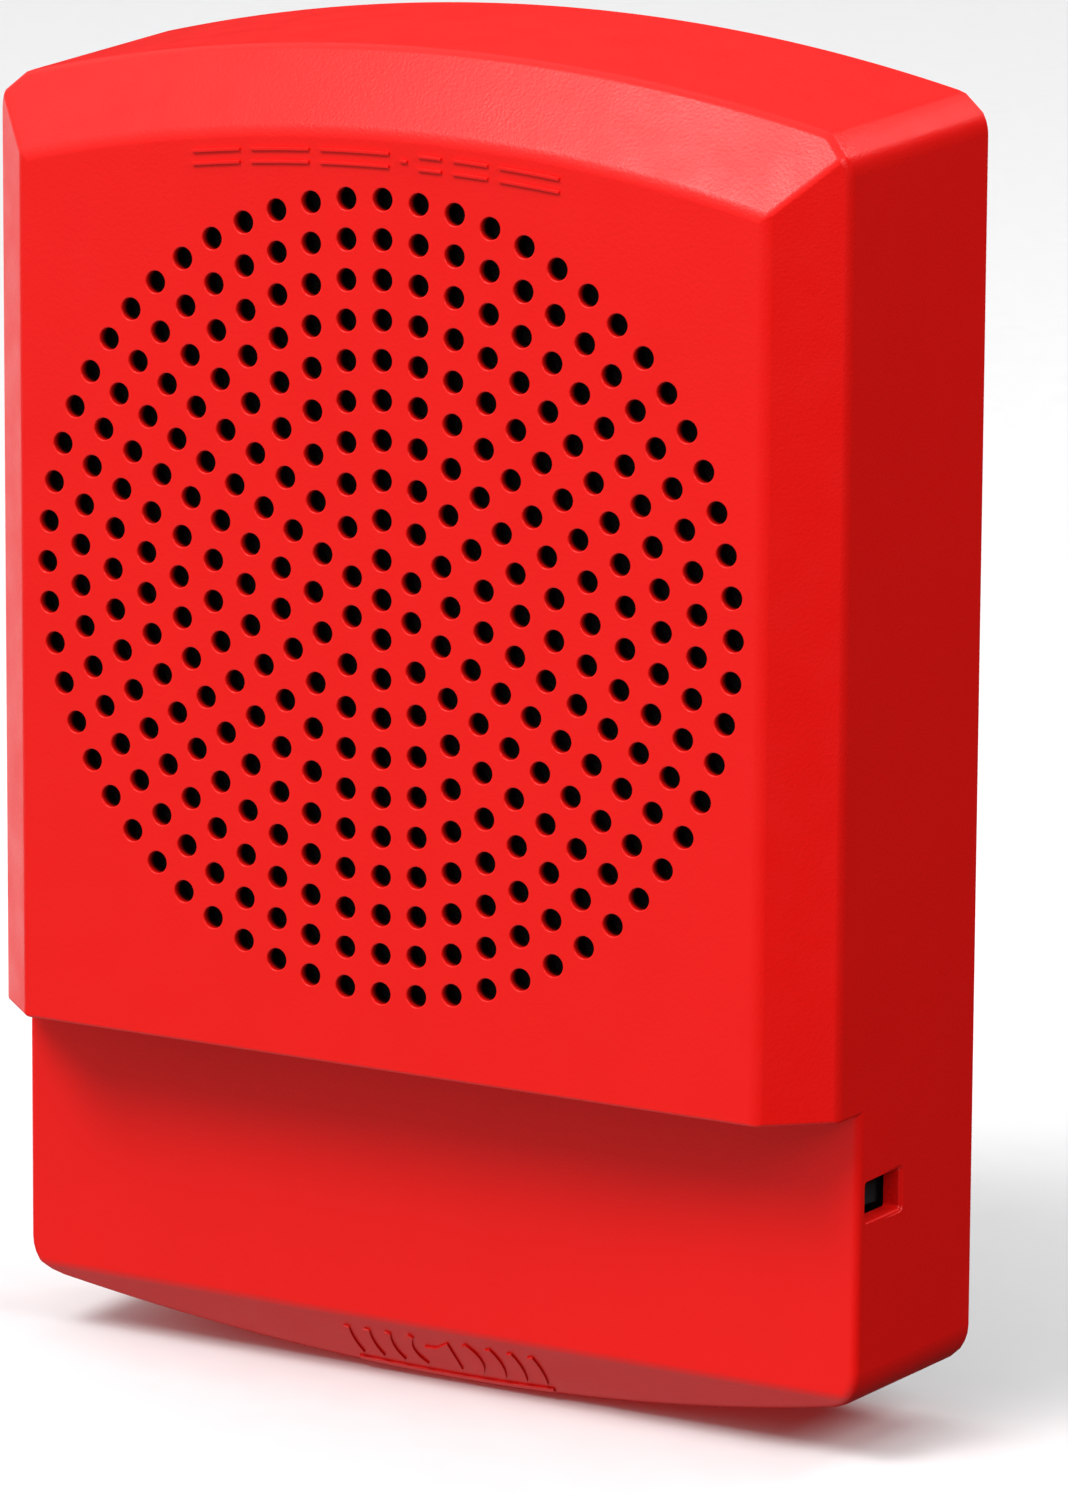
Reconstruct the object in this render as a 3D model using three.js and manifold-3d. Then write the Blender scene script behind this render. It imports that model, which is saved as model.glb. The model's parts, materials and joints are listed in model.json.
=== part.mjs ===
// Wall-mounted fire-alarm loudspeaker sounder, in millimetres.
// +Z is up, the front faces -Y, and the wall is the plane Y = 0. The origin is the middle of the mounting
// plate's back face, at the mid-height of the housing.
import * as THREE from 'three';
import { ConvexGeometry } from 'three/addons/geometries/ConvexGeometry.js';
import { mergeGeometries, mergeVertices } from 'three/addons/utils/BufferGeometryUtils.js';
import Module from 'manifold-3d';

const wasm = await Module();
wasm.setup();

// ---------- driving dimensions ----------
const wall = 2.5; // moulded wall thickness of the cover
const gap = 0.3; // clearance between touching pieces
const faceY = -41; // front face of the cover
const rimY = -0.6; // rear edge of the cover, just off the wall
const panelY = -28.9; // recessed lower panel
const grilleZ = 17.5; // height of the grille's and driver's axis
const holePitch = 5; // grille ring spacing
const holeRings = 10;
const holeRadius = 1.5; // the faceted holes are six-sided, about as open as round ones of 1.43
const stepZ = -42.5; // underside of the upper block
const bevelTopZ = -78.75; // where the lower panel turns into the bottom bevel
const bevelSlope = 0.9; // run towards the wall per unit of drop
const rearHalfWidth = 62.5;
const rearTop = 87.75;
const rearArch = 252; // radius of the arched top and bottom edges
const cornerRadius = 5.5;
const faceHalfWidth = 53.75;
const faceTop = 75.65;
const faceArch = 229;
const faceCorner = 0.6; // the front face keeps nearly sharp corners, so the bevelled rim is mitred
const sideSpread = 1.106; // how fast the bevelled rim widens towards the wall
const topSpread = 1.387;
const sideDraft = 0.0266; // narrowing per millimetre towards the front
const topDraft = 0.064;
const bottomDraft = 0.012;
const slot = { y0: -27.35, y1: -18.4, z0: -56.5, z1: -51.35 }; // release slots in both side walls
const plateThickness = 3;
const boardZ = -60; // centre height of the circuit board
const boardRear = -18.4; // the board's component side
const boardThickness = 1.6;
const boardFixings = [[-46.5, -71.5], [46.5, -71.5], [-46.5, -48.5], [46.5, -48.5]];
const boxCentreZ = 6; // centre of the wiring box behind the plate
const gangHeight = 83.3; // screw spacing of a wiring box, vertically
const gangWidth = 46; // screw spacing of a two-gang box, horizontally
const earRadius = 57.3; // driver fixing screws, from the driver's axis
const driverSides = 24; // facets of the driver's round pieces
const clampPitch = 9; // terminal screw spacing
const clampZ = -53.5;
const pinX = 3.5; // contact pins, either side of the centre line
const pinZ = -68;
const dialPlace = [24.5, -66.5];
const sliderPlace = [-15, -68];

// ---------- materials ----------
function paint(color, roughness, metalness = 0) {
  return new THREE.MeshStandardMaterial({ color, roughness, metalness });
}
const redPlastic = 0xd8121c;
const blackPlastic = 0x1b1b1d;
const greyPlastic = 0x4a4c50;
const creamPlastic = 0xd9d3c0;
const steel = 0xb9bcc0;
const brass = 0xc9a24a;
const copper = 0xb06a3c;
const paper = 0x24211f;
const clothBlack = 0x0b0b0c;
const ferrite = 0x35363a;
const boardGreen = 0x1f6b3a;

// ---------- solids ----------
function solid(geometry) {
  const bare = geometry.clone();
  bare.deleteAttribute('normal');
  bare.deleteAttribute('uv');
  const merged = mergeVertices(bare, 1e-4);
  return new wasm.Manifold(new wasm.Mesh({
    numProp: 3,
    vertProperties: new Float32Array(merged.attributes.position.array),
    triVerts: new Uint32Array(merged.index.array),
  }));
}

function geometryOf(shape) {
  const mesh = shape.getMesh();
  const geometry = new THREE.BufferGeometry();
  geometry.setAttribute('position', new THREE.BufferAttribute(new Float32Array(mesh.vertProperties), 3));
  geometry.setIndex(new THREE.BufferAttribute(new Uint32Array(mesh.triVerts), 1));
  geometry.computeVertexNormals();
  return geometry;
}

const join = (shapes) => shapes.reduce((whole, next) => whole.add(next));
const cut = (from, shapes) => shapes.reduce((left, next) => left.subtract(next), from);

// A box between two corners.
function block([x0, y0, z0], [x1, y1, z1]) {
  const geometry = new THREE.BoxGeometry(x1 - x0, y1 - y0, z1 - z0);
  return solid(geometry.translate((x0 + x1) / 2, (y0 + y1) / 2, (z0 + z1) / 2));
}

// The same box on the +X side (side 1), or mirrored to the -X side (side -1).
function sideBlock(side, [x0, ...low], [x1, ...high]) {
  const [left, right] = [side * x0, side * x1].sort((a, b) => a - b);
  return block([left, ...low], [right, ...high]);
}

// A round bar along Y, from yFront to yRear.
function barGeometry(radius, yFront, yRear, x, z, sides) {
  const geometry = new THREE.CylinderGeometry(radius, radius, yRear - yFront, sides);
  return geometry.translate(x, (yFront + yRear) / 2, z);
}
const bar = (...sizes) => solid(barGeometry(...sizes));

// A piece turned about the Y axis from a closed [radius, y] profile.
function turned(profile, sides = driverSides) {
  const points = profile.map(([radius, y]) => new THREE.Vector2(radius, y));
  if (THREE.ShapeUtils.area(points) < 0) points.reverse();
  const closed = profile.some(([radius]) => radius === 0) ? points : [...points, points[0]];
  return solid(new THREE.LatheGeometry(closed, sides));
}

// An X-Z outline made thick along Y, from yFront to yRear.
function slab(points, yFront, yRear) {
  const shape = new THREE.Shape(points);
  const geometry = new THREE.ExtrudeGeometry(shape, { depth: yRear - yFront, bevelEnabled: false });
  return solid(geometry.rotateX(Math.PI / 2).translate(0, yRear, 0));
}

// A round wire along a smooth curve through the given points.
function wire(points, radius, steps) {
  const path = new THREE.CatmullRomCurve3(points.map((p) => new THREE.Vector3(...p)));
  const section = new THREE.Shape();
  section.absarc(0, 0, radius, 0, 2 * Math.PI);
  return solid(new THREE.ExtrudeGeometry(section, { steps, extrudePath: path, curveSegments: 4 }));
}

// ---------- the cover's outline ----------
// Two shallow arches joined by straight sides, with tangent round corners.
function outline({ halfWidth, top, bottom, arch, corner }, divisions = 4) {
  const lean = Math.asin((halfWidth - corner) / (arch - corner));
  const reach = (arch - corner) * Math.cos(lean);
  const side = halfWidth - corner;
  const up = Math.PI / 2;
  const path = new THREE.Path();
  path.absarc(0, top - arch, arch, up + lean, up - lean, true);
  path.absarc(side, top - arch + reach, corner, up - lean, 0, true);
  path.absarc(side, bottom + arch - reach, corner, 0, lean - up, true);
  path.absarc(0, bottom + arch, arch, lean - up, -lean - up, true);
  path.absarc(-side, bottom + arch - reach, corner, -lean - up, -2 * up, true);
  path.absarc(-side, top - arch + reach, corner, 2 * up, up + lean, true);
  return path.getPoints(divisions);
}

// The drafted side walls at depth y, moved in by inset.
function wallOutline(y, inset) {
  return {
    halfWidth: rearHalfWidth + sideDraft * y - inset,
    top: rearTop + topDraft * y - inset,
    bottom: -(rearTop + bottomDraft * y) + inset,
    arch: rearArch - inset,
    corner: cornerRadius - inset,
  };
}

const ringAt = (sizes, y) => outline(sizes).map((point) => new THREE.Vector3(point.x, y, point.y));
const hull = (...rings) => solid(new ConvexGeometry(rings.flat()));

// Everything in front of and below the bottom bevel, whose plane is moved in by inset.
function bevelCutter(inset) {
  const shift = inset * Math.hypot(1, bevelSlope);
  const depthAt = (z) => panelY + shift + bevelSlope * (bevelTopZ - z);
  const high = bevelTopZ + 30;
  const low = bevelTopZ - 60;
  const corners = [-80, 80].flatMap((x) => [
    new THREE.Vector3(x, depthAt(high), high),
    new THREE.Vector3(x, depthAt(low), low),
    new THREE.Vector3(x, depthAt(high), low),
  ]);
  return solid(new ConvexGeometry(corners));
}

// The mitred bevel round the front face at depth y, moved in by inset.
function rimOutline(y, inset) {
  const depth = y - faceY;
  return {
    halfWidth: faceHalfWidth + sideSpread * depth - inset * Math.hypot(1, sideSpread),
    top: faceTop + topSpread * depth - inset * Math.hypot(1, topSpread),
    bottom: 2 * bevelTopZ,
    arch: faceArch,
    corner: faceCorner,
  };
}

// The cover as a filled body: inset 0 is its outside, inset = wall is its hollow.
function coverBody(inset) {
  const front = faceY + inset;
  const rear = inset ? 1 : rimY;
  const loft = (sizes) => hull(ringAt(sizes(front, inset), front), ringAt(sizes(rear, inset), rear));
  const belowStep = block([-80, -60, -120], [80, panelY + inset, stepZ + inset]);
  return cut(loft(wallOutline).intersect(loft(rimOutline)), [belowStep, bevelCutter(inset)]);
}

// ---------- cover ----------
// Rings of holes: one in the middle, then six more on each ring than on the one inside it.
function grilleHoles() {
  const holes = [];
  for (let ring = 0; ring <= holeRings; ring += 1) {
    const count = Math.max(1, 6 * ring);
    for (let index = 0; index < count; index += 1) {
      const angle = Math.PI / 2 + (2 * Math.PI * index) / count;
      const x = ring * holePitch * Math.cos(angle);
      const z = grilleZ + ring * holePitch * Math.sin(angle);
      holes.push(barGeometry(holeRadius, faceY - 1, faceY + wall + 1, x, z, 6));
    }
  }
  return solid(mergeGeometries(holes));
}

const earPlaces = [45, 135, 225, 315].map((degrees) => {
  const angle = THREE.MathUtils.degToRad(degrees);
  return [earRadius * Math.cos(angle), earRadius * Math.sin(angle)];
});

function frontCover() {
  const bosses = [];
  const pilots = [];
  for (const [x, z] of earPlaces) {
    bosses.push(bar(3.8, faceY + 1, -34.1, x, grilleZ + z, 10));
    pilots.push(bar(1.75, faceY + wall + 0.6, -30, x, grilleZ + z, 8));
  }
  for (const [x, z] of boardFixings) {
    bosses.push(bar(3.2, panelY + 1, boardRear - boardThickness - gap, x, z, 10));
    pilots.push(bar(1.75, panelY + wall, -15, x, z, 8));
  }
  const catches = [];
  const slots = [];
  for (const side of [-1, 1]) {
    const rib = sideBlock(side, [58.3, -13.5, -58], [61, -11.5, -50]);
    const topLip = sideBlock(side, [16, -5.6, 82.4], [28, -3.2, 85.5]);
    catches.push(rib, topLip);
    slots.push(sideBlock(side, [57, slot.y0, slot.z0], [66, slot.y1, slot.z1]));
  }
  const shell = coverBody(0).subtract(coverBody(wall));
  return cut(join([shell, ...bosses, ...catches]), [...pilots, ...slots, grilleHoles()]);
}

// ---------- loudspeaker driver, about its own axis ----------
function basket() {
  const bowl = turned([
    [50.8, -33.8], [43.4, -33.8], [42.2, -31], [28.7, -21], [24.4, -21], [24.4, -19], [14.4, -19],
    [14.4, -17.9], [25.5, -17.9], [25.5, -19.9], [29.2, -19.9], [43.3, -30.5], [44.4, -32.5], [50.8, -32.5],
  ]);
  const ears = [];
  const holes = [];
  for (const [x, z] of earPlaces) {
    const neck = new THREE.BoxGeometry(12, 1.3, 9.6).translate(earRadius - 6, -33.15, 0);
    ears.push(solid(neck.rotateY(-Math.atan2(z, x))), bar(4.8, -33.8, -32.5, x, z, 12));
    holes.push(bar(1.8, -35, -31, x, z, 8));
  }
  const windows = [0, 1, 2, 3].map((quarter) => {
    const opening = new THREE.BoxGeometry(9.5, 20, 26).translate(36, -26.4, 0);
    return solid(opening.rotateY((quarter * Math.PI) / 2));
  });
  return cut(join([bowl, ...ears]), [...windows, ...holes]);
}

const surround = () => {
  const roll = (radius) => [0, 45, 90, 135, 180].map((degrees) => {
    const angle = THREE.MathUtils.degToRad(degrees);
    return [40.5 + radius * Math.cos(angle), -34.1 - radius * Math.sin(angle)];
  });
  return turned([
    [46.2, -34.1], [46.2, -34.5], ...roll(2.6), [35.6, -34.5], [35.6, -34.1], ...roll(2.1).reverse(),
  ]);
};

const cone = () => turned([
  [38, -33.8], [35.6, -33.8], [26, -28.2], [13.35, -23],
  [13.35, -22.3], [26.3, -27.5], [35.9, -33.2], [38, -33.2],
]);

const dustCap = () => turned([
  [0, -28.6], [8, -27.6], [12.5, -25.8], [14.8, -24.5], [14.4, -24.1], [12.1, -25.3], [7.7, -27], [0, -28],
]);

const voiceCoil = () => turned([
  [12.7, -23.4], [13, -23.4], [13, -18.6], [13.35, -18.6],
  [13.35, -13.2], [13, -13.2], [13, -11.5], [12.7, -11.5],
]);

function spider() {
  const waves = 4;
  const crests = [];
  for (let step = 0; step <= waves; step += 1) {
    crests.push([15.4 + (step * 9.4) / waves, step % 2 ? -22.1 : -21.2]);
  }
  const front = crests.map(([radius, y]) => [radius, y - 0.2]);
  const back = crests.map(([radius, y]) => [radius, y + 0.2]).reverse();
  return turned([[13.65, -21.7], ...front, [28.2, -21.7], [28.2, -21.3], ...back, [13.65, -21.3]]);
}

const ringPiece = (inner, outer, yFront, yRear) => turned([
  [inner, yFront], [outer, yFront], [outer, yRear], [inner, yRear],
]);

const backPlate = () => turned([[0, -17.9], [12.3, -17.9], [12.3, -6.5], [24, -6.5], [24, -4], [0, -4]]);

function terminalStrip() {
  const lugs = [-5, 5].map((x) => block([x - 1.2, -31.4, -54], [x + 1.2, -27.5, -53.4]));
  return join([block([-9, -32.2, -55], [9, -31.2, -46]), ...lugs]);
}

function tinselLead(x) {
  const path = [[x, -29, -52.9], [x * 0.95, -26.5, -47], [x * 0.9, -25, -38], [x * 0.8, -26.6, -29]];
  return wire(path, 0.45, 10);
}

// ---------- circuit board pieces ----------
const frontOfParts = boardRear + gap;
const onBoard = (x, z) => [x, frontOfParts, z];

function circuitBoard() {
  const front = boardRear - boardThickness;
  const holes = boardFixings.map(([x, z]) => bar(1.8, front - 1, boardRear + 1, x, z, 8));
  return cut(block([-50, front, boardZ - 15], [50, boardRear, boardZ + 15]), holes);
}

// Stack of laminations: two windows either side of the centre leg. Centred on the winding.
function transformerCore() {
  const windows = [-1, 1].map((side) => sideBlock(side, [3.8, -9, -6.6], [8, 9, 6.6]));
  return cut(block([-11, -4, -10], [11, 4, 10]), windows);
}

function transformerWinding() {
  const bobbinHole = block([-4.15, -4.35, -9], [4.15, 4.35, 9]);
  return cut(block([-7.6, -6, -6.2], [7.6, 6, 6.2]), [bobbinHole]);
}

const filmCapacitor = () => block([-9, 0, -4], [9, 9.5, 4]);

const canCapacitor = () => turned([
  [0, 0], [4.4, 0], [4.6, 0.4], [4.6, 1.6], [4.2, 2], [4.6, 2.4], [4.6, 10.6], [4.2, 11], [0, 11],
], 14);

function dialBody() {
  const well = bar(3.7, 2.6, 8, 0, 0, 16);
  return cut(block([-5, 0, -5], [5, 5.2, 5]), [well]);
}

function dial() {
  const slotCut = block([-2.4, 4.4, -0.45], [2.4, 8, 0.45]);
  const pointer = block([1.2, 4.8, -0.8], [2.9, 8, 0.8]);
  return cut(bar(3.2, 2.9, 5.8, 0, 0, 16), [slotCut, pointer]);
}

const sliderBody = () => cut(block([-4.4, 0, -2.6], [4.4, 4.2, 2.6]), [block([-3, 2.4, -1.4], [3, 6, 1.4])]);
const slider = () => block([-2.7, 2.7, -1.1], [0, 5.2, 1.1]);

const contactPin = () => block([-0.6, 0, -0.6], [0.6, 11.2, 0.6]);

// A fixing screw with its head at the rear: the head's underside is at y = 0.
const screw = (headRadius, headHeight, shankRadius, length) => turned([
  [0, -length], [shankRadius * 0.6, -length], [shankRadius, -length + 1], [shankRadius, 0],
  [headRadius, 0], [headRadius, headHeight * 0.6], [headRadius * 0.7, headHeight], [0, headHeight],
], 10);

// ---------- mounting plate and terminals ----------
function mountingPlate() {
  const edge = { halfWidth: 57, top: 82.6, bottom: -81, arch: 250, corner: 6 };
  const front = -plateThickness;
  const additions = [];
  const cuts = [block([-22, -10, -29], [22, 10, -7])];
  for (const side of [-1, 1]) {
    const x = side * 22;
    additions.push(block([x - 5, -9.5, 79.4], [x + 5, -1, 81.4]));
    additions.push(block([x - 5, -9.5, 80], [x + 5, -7.5, 83.1]));
    additions.push(block([side * 51 - 1, front - 2.2, -38], [side * 51 + 1, front + 1, 66]));
    cuts.push(block([side * 57.5 - 2.5, -10, -57], [side * 57.5 + 2.5, 10, -50.8]));
    for (const end of [-1, 1]) {
      const z = boxCentreZ + (end * gangHeight) / 2;
      cuts.push(block([(side * gangWidth) / 2 - 4, -10, z - 2.2], [(side * gangWidth) / 2 + 4, 10, z + 2.2]));
    }
  }
  for (const end of [-1, 1]) {
    const z = boxCentreZ + (end * gangHeight) / 2;
    cuts.push(block([-4, -10, z - 2.2], [4, 10, z + 2.2]));
  }
  return cut(join([slab(outline(edge), front, 0), ...additions]), cuts);
}

const clampPlaces = [-1.5, -0.5, 0.5, 1.5].map((step) => step * clampPitch);

function terminalBlock() {
  const rear = -plateThickness - gap;
  const base = block([-19, rear - 2, -73], [19, rear, -46]);
  const clamps = block([-19, -12.3, -60], [19, rear, -46]);
  const socket = block([-8, -11, -73], [8, rear, -63]);
  const bays = clampPlaces.map((x) => block([x - 3, -14, -57.5], [x + 3, rear - 2, -40]));
  const channels = [-1, 1].flatMap((side) => [
    sideBlock(side, [1.7, -6.8, -57.5], [16.6, rear - 2, -50.2]),
    sideBlock(side, [2, -6.8, -71.4], [6.2, rear - 2, -57]),
    sideBlock(side, [1.4, -12, -71.4], [6.2, rear - 2, -64.8]),
  ]);
  return cut(join([base, clamps, socket]), [...bays, ...channels]);
}

// One brass strip: a clamp bar under two screws, a leg down to the socket and a tongue beside the pin.
const contactStrip = (side) => join([
  sideBlock(side, [2, -6.4, -57.1], [16.2, -5.6, -50.6]),
  sideBlock(side, [2.4, -6.4, -71], [5, -5.6, -57]),
  sideBlock(side, [4.45, -10.4, -70.4], [5, -5.6, -65.6]),
]);

// Clamp screw facing the front: the washer's face is at y = 0.
const terminalScrew = () => cut(turned([
  [0, 0], [2.7, 0], [2.7, -0.7], [1.5, -1], [1.5, -3.4], [2.6, -3.4], [2.6, -5], [2.1, -5.6], [0, -5.6],
], 12), [block([-3, -7, -0.35], [3, -4.6, 0.35])]);

// Spring arm with its catch: the outline lies in X-Y, for the +X side.
function latchArm(side) {
  const points = [
    [55.5, -0.6], [57.9, -0.6], [57.9, -14.4], [59.2, -14.4], [59.2, -15.6], [57.9, -18.6], [57.9, -26],
    [56.3, -26], [56.3, -3], [55.5, -3],
  ].map(([x, y]) => new THREE.Vector2(side * x, y));
  const geometry = new THREE.ExtrudeGeometry(new THREE.Shape(points), { depth: 5, bevelEnabled: false });
  return solid(geometry.translate(0, 0, -56.4));
}

// ---------- the assembly ----------
const sounder = new THREE.Group();
const housing = new THREE.Group();
const driver = new THREE.Group();
const electronics = new THREE.Group();
const wallSide = new THREE.Group();
driver.position.set(0, 0, grilleZ);
housing.add(driver, electronics);
sounder.add(housing, wallSide);

function add(parent, name, shape, material, place = [0, 0, 0]) {
  const mesh = new THREE.Mesh(geometryOf(shape), material);
  mesh.name = name;
  mesh.position.set(...place);
  parent.add(mesh);
}

add(housing, 'front_cover', frontCover(), paint(redPlastic, 0.45));

add(driver, 'grille_scrim', bar(51.9, -38.2, -37.9, 0, 0, 40), paint(clothBlack, 0.95));
add(driver, 'driver_gasket', ringPiece(46.5, 51.4, -37.6, -34.1), paint(clothBlack, 0.9));
add(driver, 'driver_basket', basket(), paint(steel, 0.4, 0.9));
add(driver, 'surround', surround(), paint(clothBlack, 0.8));
add(driver, 'cone', cone(), paint(paper, 0.85));
add(driver, 'dust_cap', dustCap(), paint(paper, 0.7));
add(driver, 'voice_coil', voiceCoil(), paint(copper, 0.4, 0.6));
add(driver, 'spider', spider(), paint(creamPlastic, 0.9));
add(driver, 'top_plate', ringPiece(13.75, 24, -17.6, -14.6), paint(steel, 0.35, 0.9));
add(driver, 'magnet', ringPiece(15.5, 26, -14.3, -6.8), paint(ferrite, 0.6, 0.2));
add(driver, 'back_plate', backPlate(), paint(steel, 0.35, 0.9));
add(driver, 'driver_terminal_strip', terminalStrip(), paint(creamPlastic, 0.7));
add(driver, 'tinsel_lead_left', tinselLead(-5), paint(copper, 0.5, 0.5));
add(driver, 'tinsel_lead_right', tinselLead(5), paint(copper, 0.5, 0.5));
earPlaces.forEach(([x, z], index) => {
  const place = [x, -32.2, z];
  add(driver, `driver_screw_${index + 1}`, screw(3, 2, 1.3, 4.6), paint(steel, 0.3, 0.9), place);
});

add(electronics, 'circuit_board', circuitBoard(), paint(boardGreen, 0.5));
const coilMiddle = [-31.5, frontOfParts + 6, boardZ];
add(electronics, 'transformer_core', transformerCore(), paint(steel, 0.5, 0.7), coilMiddle);
add(electronics, 'transformer_winding', transformerWinding(), paint(creamPlastic, 0.6), coilMiddle);
add(electronics, 'blocking_capacitor', filmCapacitor(), paint(creamPlastic, 0.5), onBoard(31.5, -52.5));
add(electronics, 'filter_capacitor', canCapacitor(), paint(greyPlastic, 0.4), onBoard(38, -66.5));
add(electronics, 'power_selector_body', dialBody(), paint(blackPlastic, 0.5), onBoard(...dialPlace));
add(electronics, 'power_selector_dial', dial(), paint(creamPlastic, 0.5), onBoard(...dialPlace));
add(electronics, 'voltage_selector_body', sliderBody(), paint(steel, 0.4, 0.7), onBoard(...sliderPlace));
add(electronics, 'voltage_selector_slider', slider(), paint(creamPlastic, 0.5), onBoard(...sliderPlace));
boardFixings.forEach(([x, z], index) => {
  const shape = screw(2.7, 1.8, 1.3, 5.8);
  add(electronics, `board_screw_${index + 1}`, shape, paint(steel, 0.3, 0.9), onBoard(x, z));
});
for (const [name, side] of [['positive', 1], ['negative', -1]]) {
  add(electronics, `contact_pin_${name}`, contactPin(), paint(brass, 0.3, 0.9), onBoard(side * pinX, pinZ));
  const lead = wire([
    [side * 9, frontOfParts + 0.8, -46.5], [side * 8.6, -15.2, -43.6], [side * 7.5, -19, -40.6],
    [side * 6, -25, -38.8], [side * 5, -28.6, -37.9],
  ], 0.8, 14);
  add(electronics, `speaker_lead_${name}`, lead, paint(side > 0 ? redPlastic : blackPlastic, 0.5));
}

add(wallSide, 'mounting_plate', mountingPlate(), paint(greyPlastic, 0.6));
add(wallSide, 'terminal_block', terminalBlock(), paint(blackPlastic, 0.5));
for (const [name, side] of [['positive', 1], ['negative', -1]]) {
  add(wallSide, `contact_strip_${name}`, contactStrip(side), paint(brass, 0.3, 0.9));
}
clampPlaces.forEach((x, index) => {
  add(wallSide, `terminal_screw_${index + 1}`, terminalScrew(), paint(steel, 0.3, 0.9), [x, -6.7, clampZ]);
});
add(wallSide, 'latch_left', latchArm(-1), paint(greyPlastic, 0.6));
add(wallSide, 'latch_right', latchArm(1), paint(greyPlastic, 0.6));

export default sounder;
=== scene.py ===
"""Looks for the wall-mounted fire-alarm loudspeaker sounder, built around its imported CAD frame."""
import json
import math

import bmesh
import bpy
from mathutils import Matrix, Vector
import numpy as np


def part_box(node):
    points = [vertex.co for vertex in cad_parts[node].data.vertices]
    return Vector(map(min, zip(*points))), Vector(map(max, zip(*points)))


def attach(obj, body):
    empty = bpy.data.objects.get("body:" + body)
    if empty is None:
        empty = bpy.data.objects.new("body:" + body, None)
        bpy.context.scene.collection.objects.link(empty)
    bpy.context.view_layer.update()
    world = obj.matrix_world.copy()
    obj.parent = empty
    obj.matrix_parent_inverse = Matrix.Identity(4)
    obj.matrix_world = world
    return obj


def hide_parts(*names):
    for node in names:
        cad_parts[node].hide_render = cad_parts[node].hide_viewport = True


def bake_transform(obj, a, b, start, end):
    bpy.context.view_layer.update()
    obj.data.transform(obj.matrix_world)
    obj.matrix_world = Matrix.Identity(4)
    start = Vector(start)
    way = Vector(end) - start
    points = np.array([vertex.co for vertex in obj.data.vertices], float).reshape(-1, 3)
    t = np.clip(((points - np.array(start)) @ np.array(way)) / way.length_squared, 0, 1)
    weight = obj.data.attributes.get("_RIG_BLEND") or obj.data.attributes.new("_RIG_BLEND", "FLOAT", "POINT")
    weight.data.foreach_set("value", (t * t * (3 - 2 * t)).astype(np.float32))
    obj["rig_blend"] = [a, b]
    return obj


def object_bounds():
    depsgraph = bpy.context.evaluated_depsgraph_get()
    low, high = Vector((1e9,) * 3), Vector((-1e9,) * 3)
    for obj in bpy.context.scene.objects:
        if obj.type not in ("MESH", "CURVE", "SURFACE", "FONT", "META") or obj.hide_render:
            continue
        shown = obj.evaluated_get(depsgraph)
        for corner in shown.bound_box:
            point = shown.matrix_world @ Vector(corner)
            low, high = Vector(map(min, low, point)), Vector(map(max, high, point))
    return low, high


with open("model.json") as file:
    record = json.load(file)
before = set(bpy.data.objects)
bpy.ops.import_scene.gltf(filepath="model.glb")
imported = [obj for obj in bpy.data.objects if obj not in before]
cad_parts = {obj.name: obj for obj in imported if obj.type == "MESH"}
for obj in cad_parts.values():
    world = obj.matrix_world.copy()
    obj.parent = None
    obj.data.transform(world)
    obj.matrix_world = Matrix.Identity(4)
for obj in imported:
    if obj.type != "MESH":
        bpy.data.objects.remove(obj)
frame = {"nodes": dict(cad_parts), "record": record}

MM = 0.001
cad_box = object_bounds()


# ---------- frame measurements, in millimetres ----------
def box(node):
    low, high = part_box(node)
    return low / MM, high / MM


def middle_of(node):
    low, high = box(node)
    return (low.x + high.x) / 2, (low.z + high.z) / 2


cover_low, cover_high = box("front_cover")
GRILLE_Z = middle_of("grille_scrim")[1]
WALL = 2.5
FACE_Y, RIM_Y = cover_low.y, cover_high.y
PANEL_Y = -28.9
STEP_Z = -42.5
# Top edge of the bottom bevel, and how far it goes back for each millimetre down.
BEVEL_Z, BEVEL_SLOPE = -78.75, 0.9
# Side walls at the rear: half width, top, radius of the arches and of the corners.
REAR_HALF, REAR_TOP, ARCH, CORNER = 62.5, 87.75, 252.0, 5.5
# Flat face inside the mitred rim, and how far the rim spreads for each millimetre back.
FACE_HALF, FACE_TOP, FACE_ARCH = 53.75, 75.65, 229.0
SIDE_SPREAD, TOP_SPREAD = 1.106, 1.387
SIDE_DRAFT, TOP_DRAFT, BOTTOM_DRAFT = 0.0266, 0.064, 0.012
HOLE_PITCH, HOLE_RINGS, HOLE_RADIUS = 5.0, 10, 1.425
# Widths of the fillets on the cover's outer edges.
FACE_FILLET, SHOULDER_FILLET, MITRE_FILLET, PANEL_FILLET = 1.1, 0.9, 0.55, 1.2
STEP_FILLET, STEP_CORNER_FILLET, BEVEL_FILLET = 0.5, 0.4, 0.7
# Steps across half of the face's arc, and the number of steps from the middle of the top to the mitre.
ARC_STEPS = 40
MITRE_AT = ARC_STEPS + 5
# Depth at which the arches are taken to end and the rounded corners to begin.
ARCH_END_Y = -20
# Release slots, as (y, z).
SLOT_LOW, SLOT_HIGH = (-27.35, -56.5), (-18.4, -51.35)
# Lengths of the dashes above the grille, the width of the row, and how far it runs below the face's top edge.
DASHES, DASH_SPAN, DASH_DROP = (7.0, 8.5, 10.0, 1.0, 3.3, 5.0, 8.5), 53.0, 3.2

record = frame["record"]
slots = {part["node"]: part["material_slot"] for part in record["subparts"]}
body_of = {node: body for body, nodes in record["behaviour"]["bodies"].items() for node in nodes}


# ---------- mesh helpers ----------
def mesh_from(bm, name):
    mesh = bpy.data.meshes.new(name)
    bm.to_mesh(mesh)
    bm.free()
    return mesh


def new_object(name, mesh):
    piece = bpy.data.objects.new(name, mesh)
    bpy.context.collection.objects.link(piece)
    return piece


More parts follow.
